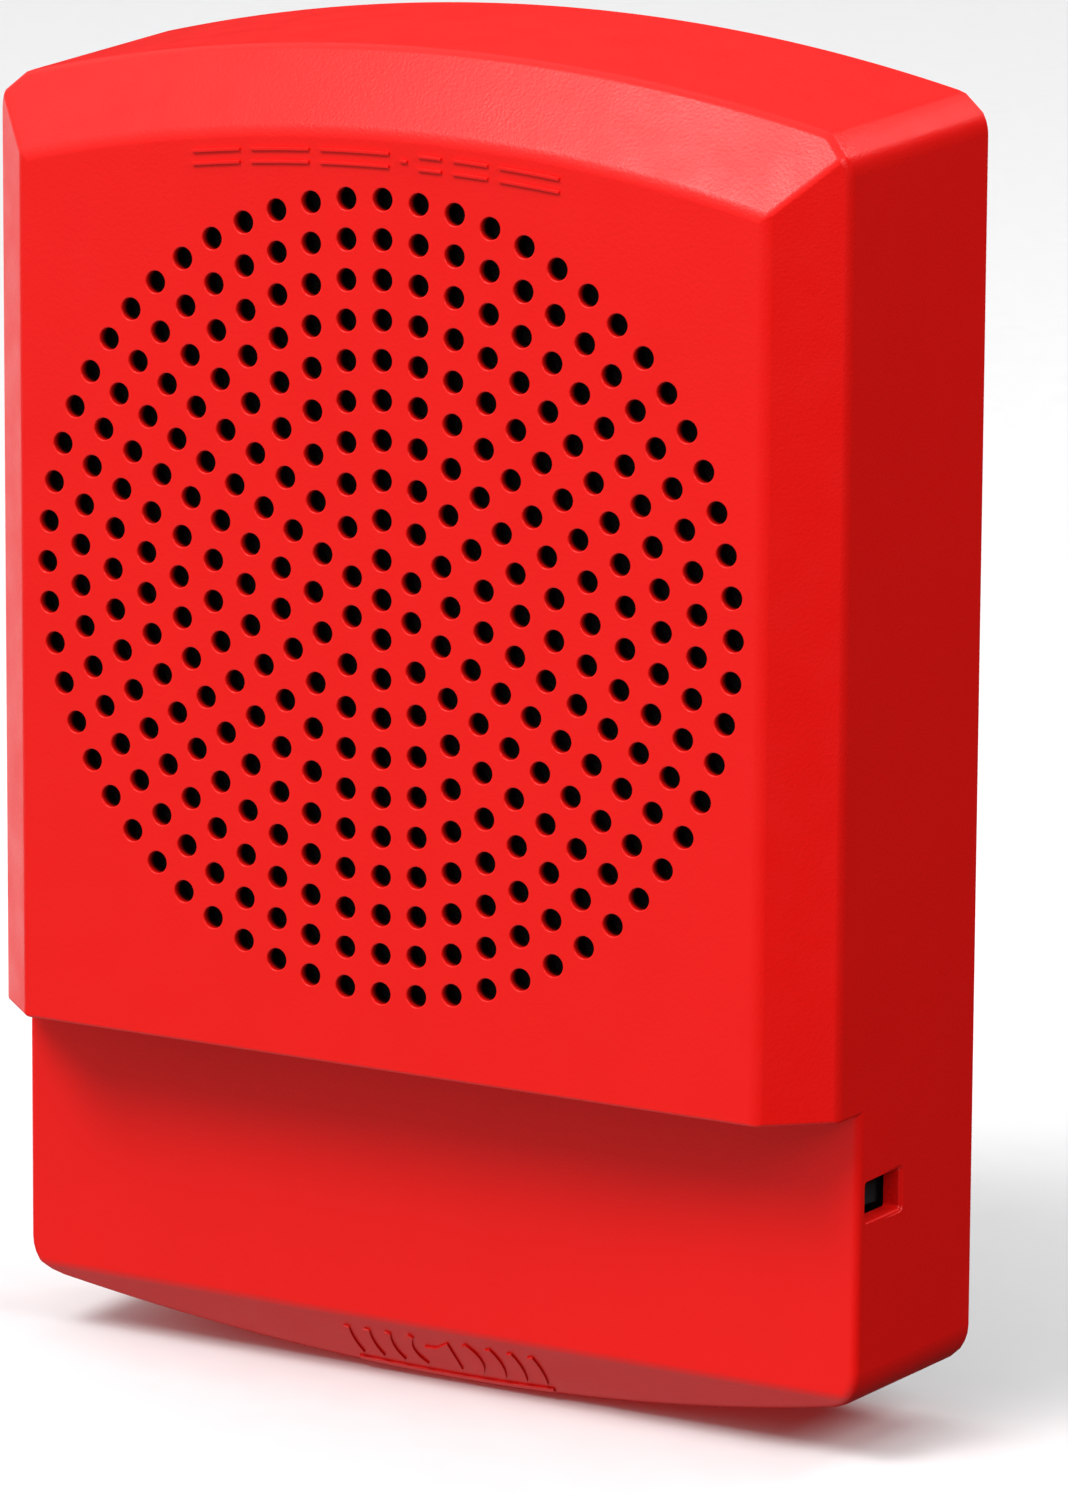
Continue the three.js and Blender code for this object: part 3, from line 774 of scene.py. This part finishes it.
# ---------- loudspeaker driver ----------
EAR_RADIUS, EAR_HALF = 57.3, 4.8


def spun(name, profile, radius, **place):
    """A turned piece with rounded profile corners."""
    return shaded(turned(name, soften(profile, radius, closed=profile[0][0] > 0), **place))


def ear_outline(turn):
    """A basket ear seen from the front: a tab with a round end, at an angle round the driver."""
    turns = [math.pi * (k / 12 - 0.5) for k in range(13)]
    end = [(EAR_RADIUS + EAR_HALF * math.cos(a), EAR_HALF * math.sin(a)) for a in turns]
    outline = [(44.8, -EAR_HALF), *end, (44.8, EAR_HALF)]
    c, s = math.cos(turn), math.sin(turn)
    return [(u * c - v * s, u * s + v * c + GRILLE_Z) for u, v in outline]


def basket():
    """The driver's frame: a turned bowl with four ears and four windows."""
    front = [(50.8, -33.8), (43.4, -33.8), (42.2, -31), (28.7, -21), (24.4, -21), (24.4, -19), (14.4, -19)]
    rear = [(14.4, -17.9), (25.5, -17.9), (25.5, -19.9), (29.2, -19.9), (43.3, -30.5), (44.4, -32.5)]
    rear.append((50.8, -32.5))
    bowl = turned("basket", soften(front + rear, 0.9))
    cutters = []
    for k in range(4):
        turn = math.pi / 4 + math.pi / 2 * k
        ear = loft("ear", [[(x, y, z) for x, z in ear_outline(turn)] for y in (-33.8, -32.5)])
        boolean(bowl, rounded(ear, 0.2), "UNION")
        x, z = EAR_RADIUS * math.cos(turn), GRILLE_Z + EAR_RADIUS * math.sin(turn)
        cutters.append(bar("hole", [(1.8, -36), (1.8, -30)], x, z, 32))
    for side in (1, -1):
        near, far = side * 31.25, side * 40.75
        across = block("window", (near, -36.4, GRILLE_Z - 13), (far, -16.4, GRILLE_Z + 13))
        upright = block("window", (-13, -36.4, GRILLE_Z + near), (13, -16.4, GRILLE_Z + far))
        cutters += [rounded(window, 2.5, segments=4) for window in (across, upright)]
    boolean(bowl, joined("windows", cutters), "DIFFERENCE")
    return shaded(bowl, 40)


def half_roll(middle, radius, y, steps=16):
    turns = [math.pi * k / steps for k in range(steps + 1)]
    return [(middle + radius * math.cos(a), y - radius * math.sin(a)) for a in turns]


def surround_profile():
    outer, inner = half_roll(40.5, 2.6, -34.1), half_roll(40.5, 2.1, -34.1)
    return [(46.2, -34.1), (46.2, -34.5), *outer[1:-1], (35.6, -34.5), (35.6, -34.1), *inner[::-1]]


def spider_profile(waves=5, steps=50):
    crest = []
    for k in range(steps + 1):
        t = k / steps
        crest.append((14.4 + 12.8 * t, -21.6 + 0.42 * math.sin(2 * math.pi * waves * t)))
    line = [(13.65, -21.6), *crest, (28.2, -21.6)]
    return [(r, y - 0.18) for r, y in line] + [(r, y + 0.18) for r, y in line[::-1]]


def bends_outwards(piece, held, moving):
    """Bends a round piece between the housing at one radius and the cone at another."""
    centre = GRILLE_Z * MM
    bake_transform(piece, "housing", "cone_assembly", start=(held * MM, 0, centre), end=(moving * MM, 0, centre))
    # A ring bends by its radius, so they are written over.
    weights = piece.data.attributes["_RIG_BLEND"].data
    for v in piece.data.vertices:
        radius = math.hypot(v.co.x, v.co.z - centre) / MM
        t = min(1, max(0, (radius - held) / (moving - held)))
        weights[v.index].value = t * t * (3 - 2 * t)


def dust_cap():
    """A dome with a narrow glue flange round its rim."""
    rim_radius, rim_y, rise, arc = 14.8, -24.5, 4.1, 1.2
    dome = []
    for a in spread(0, arc, 12):
        height = rise * (math.cos(a) - math.cos(arc)) / (1 - math.cos(arc))
        dome.append((rim_radius * math.sin(a) / math.sin(arc), rim_y - height))
    flange = [(rim_radius, rim_y), (15.5, -24.3), (15.5, -23.94), (14.2, -23.42)]
    under = [(r * 0.97, y + 0.45) for r, y in dome[:0:-1]]
    return shaded(turned("cap_dome", [*dome, *flange, *under, (0, -28.1)]), 40)


def driver():
    gasket = [(46.5, -37.6), (51.4, -37.6), (51.4, -34.1), (46.5, -34.1)]
    stands_for(spun("gasket", gasket, 0.9), "driver_gasket")
    stands_for(basket(), "driver_basket")
    surround = shaded(turned("surround_roll", surround_profile(), sides=128), 50)
    stands_for(surround, "surround", rides=False)
    bends_outwards(surround, 43.0, 38.2)
    cone = [
        (38, -33.8), (35.6, -33.8), (26, -28.2), (13.35, -23),
        (13.35, -22.3), (26.3, -27.5), (35.9, -33.2), (38, -33.2),
    ]
    stands_for(spun("cone_shell", cone, 0.8), "cone")
    stands_for(dust_cap(), "dust_cap")
    coil = [
        (12.7, -23.4), (13, -23.4), (13, -18.6), (13.35, -18.6),
        (13.35, -13.2), (13, -13.2), (13, -11.5), (12.7, -11.5),
    ]
    stands_for(spun("coil", coil, 0.08), "voice_coil")
    spider = shaded(turned("spider_web", spider_profile(), sides=128), 60)
    stands_for(spider, "spider", rides=False)
    bends_outwards(spider, 27.0, 14.6)
    plate = [(13.75, -17.6), (24, -17.6), (24, -14.6), (13.75, -14.6)]
    stands_for(spun("top_plate_ring", plate, 0.3), "top_plate")
    magnet = [(15.5, -14.3), (26, -14.3), (26, -6.8), (15.5, -6.8)]
    stands_for(spun("magnet_ring", magnet, 0.6), "magnet")
    yoke = [(0, -17.9), (12.3, -17.9), (12.3, -6.5), (24, -6.5), (24, -4), (0, -4)]
    stands_for(spun("yoke", yoke, 0.5), "back_plate")
    for name, x in (("left", -5), ("right", 5)):
        path = [(x, -29, -52.9), (x * 0.95, -26.5, -47), (x * 0.9, -25, -38), (x * 0.8, -26.6, -29)]
        points = [(a, b, c + GRILLE_Z) for a, b, c in path]
        lead = shaded(tube(f"tinsel_{name}", points, radius=0.45, sides=12), 60)
        stands_for(lead, f"tinsel_lead_{name}", rides=False)
        fixed, moving = [(x * MM, -0.026, (GRILLE_Z + z) * MM) for z in (-47, -31)]
        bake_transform(lead, "housing", "cone_assembly", start=fixed, end=moving)


# ---------- screws ----------
def cross_recess(x, y, z, reach, depth, half=0.42):
    """Cutter for a cross recess whose mouth is at y in a head that faces the rear."""
    arms = []
    for wide, tall in ((reach, half), (half, reach)):
        mouth = [(x - wide, z - tall), (x + wide, z - tall), (x + wide, z + tall), (x - wide, z + tall)]
        foot = [(x + (a - x) * 0.45, z + (b - z) * 0.6) for a, b in mouth]
        levels = [(mouth, y + 0.5), (mouth, y), (foot, y - depth)]
        arms.append(loft("arm", [[(a, level, b) for a, b in ring] for ring, level in levels]))
    return boolean(arms[0], arms[1], "UNION")


def fixing_screw(node, head, height, shank):
    """A screw with a domed head that has a cross recess. Head and shank are radii."""
    low, high = box(node)
    x, z = middle_of(node)
    seat = high.y - height
    profile = [
        (0, low.y), (shank * 0.5, low.y), (shank, low.y + 1), (shank, seat), (head, seat),
        (head, seat + height * 0.5), (head * 0.9, seat + height * 0.75),
        (head * 0.65, high.y - 0.05), (0, high.y),
    ]
    screw = turned(f"{node}_fine", soften(profile, 0.25, closed=False), x, z, 48)
    boolean(screw, cross_recess(x, high.y - 0.05, z, head * 0.6, height * 0.6), "DIFFERENCE")
    stands_for(shaded(screw, 35), node)


def clamp_screw(node):
    """A terminal screw with a clamping foot and a slotted head."""
    low, high = box(node)
    x, z = middle_of(node)
    seat, front = high.y, low.y
    profile = [
        (0, seat), (2.7, seat), (2.7, seat - 0.7), (1.5, seat - 1), (1.5, seat - 3.4), (2.6, seat - 3.4),
        (2.6, front + 0.5), (2.1, front), (0, front),
    ]
    screw = turned(f"{node}_fine", soften(profile, 0.2, closed=False), x, z, 48)
    boolean(screw, block("slot", (x - 3, front - 1, z - 0.38), (x + 3, front + 1.1, z + 0.38)), "DIFFERENCE")
    stands_for(shaded(screw, 35), node)


# ---------- circuit board, wall plate and the rest ----------
# How far the edges of the pieces that keep their CAD shape are rounded.
EDGES = {
    "driver_terminal_strip": 0.15, "circuit_board": 0.25, "transformer_core": 0.2, "transformer_winding": 0.7,
    "blocking_capacitor": 0.9, "power_selector_body": 0.3, "voltage_selector_body": 0.2,
    "voltage_selector_slider": 0.2, "contact_pin_positive": 0.15, "contact_pin_negative": 0.15,
    "mounting_plate": 0.4, "terminal_block": 0.3, "contact_strip_positive": 0.12,
    "contact_strip_negative": 0.12, "latch_left": 0.3, "latch_right": 0.3,
}


def speaker_lead(name, side):
    """An insulated wire from the board up to the driver's terminal lug."""
    low, _ = box(f"speaker_lead_{name}")
    path = [
        (side * 9, -17.3, -46.5), (side * 8.6, -15.2, -43.6), (side * 7.5, -19, -40.6),
        (side * 6, -25, -38.9), (side * 5, low.y + 0.5, -37.9), (side * 5, -29.2, -36.55),
    ]
    wire = tube(f"lead_{name}", path, radius=0.8, sides=20)
    stands_for(shaded(wire, 60), f"speaker_lead_{name}")


def dial():
    """The power selector's disc, with a screwdriver slot and an arrow."""
    low, high = box("power_selector_dial")
    x, z = middle_of("power_selector_dial")
    top = high.y
    profile = soften([(0, low.y), (3.2, low.y), (3.2, top), (0, top)], 0.25, closed=False)
    disc = turned("dial_disc", profile, x, z, 64)
    slot = block("slot", (x - 2.4, top - 1.4, z - 0.42), (x + 2.4, top + 1, z + 0.42))
    head = [(x + 1.3, z - 1), (x + 2.8, z), (x + 1.3, z + 1)]
    arrow = loft("arrow", [[(a, y, b) for a, b in head] for y in (top - 1, top + 1)])
    boolean(disc, boolean(slot, arrow, "UNION"), "DIFFERENCE")
    stands_for(shaded(disc), "power_selector_dial")


def filter_can():
    """The electrolytic capacitor, with a groove near its foot and a rolled top."""
    low, _ = box("filter_capacitor")
    x, z = middle_of("filter_capacitor")
    profile = [
        (0, 0), (4.4, 0), (4.6, 0.4), (4.6, 1.6), (4.2, 2), (4.6, 2.4),
        (4.6, 10.4), (4.2, 11), (3.4, 11), (3.2, 10.8), (0, 10.8),
    ]
    can = [(r, low.y + y) for r, y in profile]
    stands_for(spun("can", can, 0.25, x=x, z=z, sides=64), "filter_capacitor")


driver()
for k in range(1, 5):
    fixing_screw(f"driver_screw_{k}", head=3.0, height=2.0, shank=1.3)
    fixing_screw(f"board_screw_{k}", head=2.7, height=1.8, shank=1.3)
    clamp_screw(f"terminal_screw_{k}")
speaker_lead("positive", 1)
speaker_lead("negative", -1)
filter_can()
dial()
for node, width in EDGES.items():
    stands_for(shaded(rounded(copied(f"{node}_fine", node), width)), node)
for slot in frame["nodes"]["grille_scrim"].material_slots:
    slot.material = finishes["black_cloth"]


# ---------- stage, camera and lights ----------
def floor():
    half_size, gap = 40, 0.0002
    bm = bmesh.new()
    bmesh.ops.create_grid(bm, x_segments=1, y_segments=1, size=half_size)
    piece = new_object("floor", mesh_from(bm, "floor"))
    piece.location.z = cad_box[0].z - gap
    paint = material("floor_white", (0.78, 0.78, 0.785), 0.7, grain=0.05, size=3, mottle=0.01)
    piece.data.materials.append(paint)
    # Only the camera and shadows see the floor, so that it throws no white light on the red plastic.
    piece.visible_glossy = False
    piece.visible_diffuse = False


def area_light(name, location, size, power, target=(0, -0.02, 0.0)):
    data = bpy.data.lights.new(name, "AREA")
    data.shape = "RECTANGLE"
    data.size, data.size_y = size
    data.energy = power
    light = new_object(name, data)
    light.location = location
    light.visible_camera = False
    light.rotation_euler = (Vector(target) - Vector(location)).to_track_quat("-Z", "Y").to_euler()


def sun(direction, strength, softness):
    data = bpy.data.lights.new("sun", "SUN")
    data.energy = strength
    data.angle = math.radians(softness)
    light = new_object("sun", data)
    light.rotation_euler = Vector(direction).to_track_quat("Z", "Y").to_euler()


def studio_world():
    """Soft light from above, in front and to the left, a dark horizon and a glow from below and in front."""
    world = bpy.data.worlds.new("studio")
    world.use_nodes = True
    tree = world.node_tree
    nodes, links = tree.nodes, tree.links
    direction = nodes.new("ShaderNodeTexCoord").outputs["Generated"]

    def glow(toward, start, full, dark, bright):
        facing = vector_math(tree, "DOT_PRODUCT", Vector(toward).normalized(), direction)
        return map_range(tree, facing.outputs["Value"], start, full, dark, bright, smooth=True)

    total = nodes.new("ShaderNodeMath")
    links.new(glow((-0.30, -0.36, 0.88), 0.0, 0.95, 0.03, 1.1), total.inputs[0])
    links.new(glow((-0.2, -0.4, -0.9), 0.45, 1.0, 0.0, 0.9), total.inputs[1])
    nodes["Background"].inputs["Color"].default_value = (1, 1, 1, 1)
    links.new(total.outputs["Value"], nodes["Background"].inputs["Strength"])
    bpy.context.scene.world = world


floor()
studio_world()
sun((-0.20, -0.62, 0.76), 1.65, 24)
area_light("softbox", (-0.30, -0.66, 0.98), (0.45, 0.4), 3.2)
area_light("left_strip", (-0.42, 0.16, -0.03), (0.25, 0.3), 0.25, target=(-0.06, -0.03, 0.0))
area_light("right_fill", (0.80, -0.25, 0.55), (0.4, 0.4), 4.1)
area_light("back_fill", (0.45, 0.75, 0.85), (0.4, 0.4), 2.5)

camera = new_object("camera", bpy.data.cameras.new("camera"))
camera.location = (0.5019, -0.8454, 0.1942)
camera.rotation_euler = [math.radians(a) for a in (79.45, -0.332, 30.881)]
camera.data.sensor_width = 36
camera.data.lens = 186.9
camera.data.shift_y = -0.1
camera.data.clip_start, camera.data.clip_end = 0.01, 120
bpy.context.scene.camera = camera
bpy.context.scene.view_settings.view_transform = "Standard"
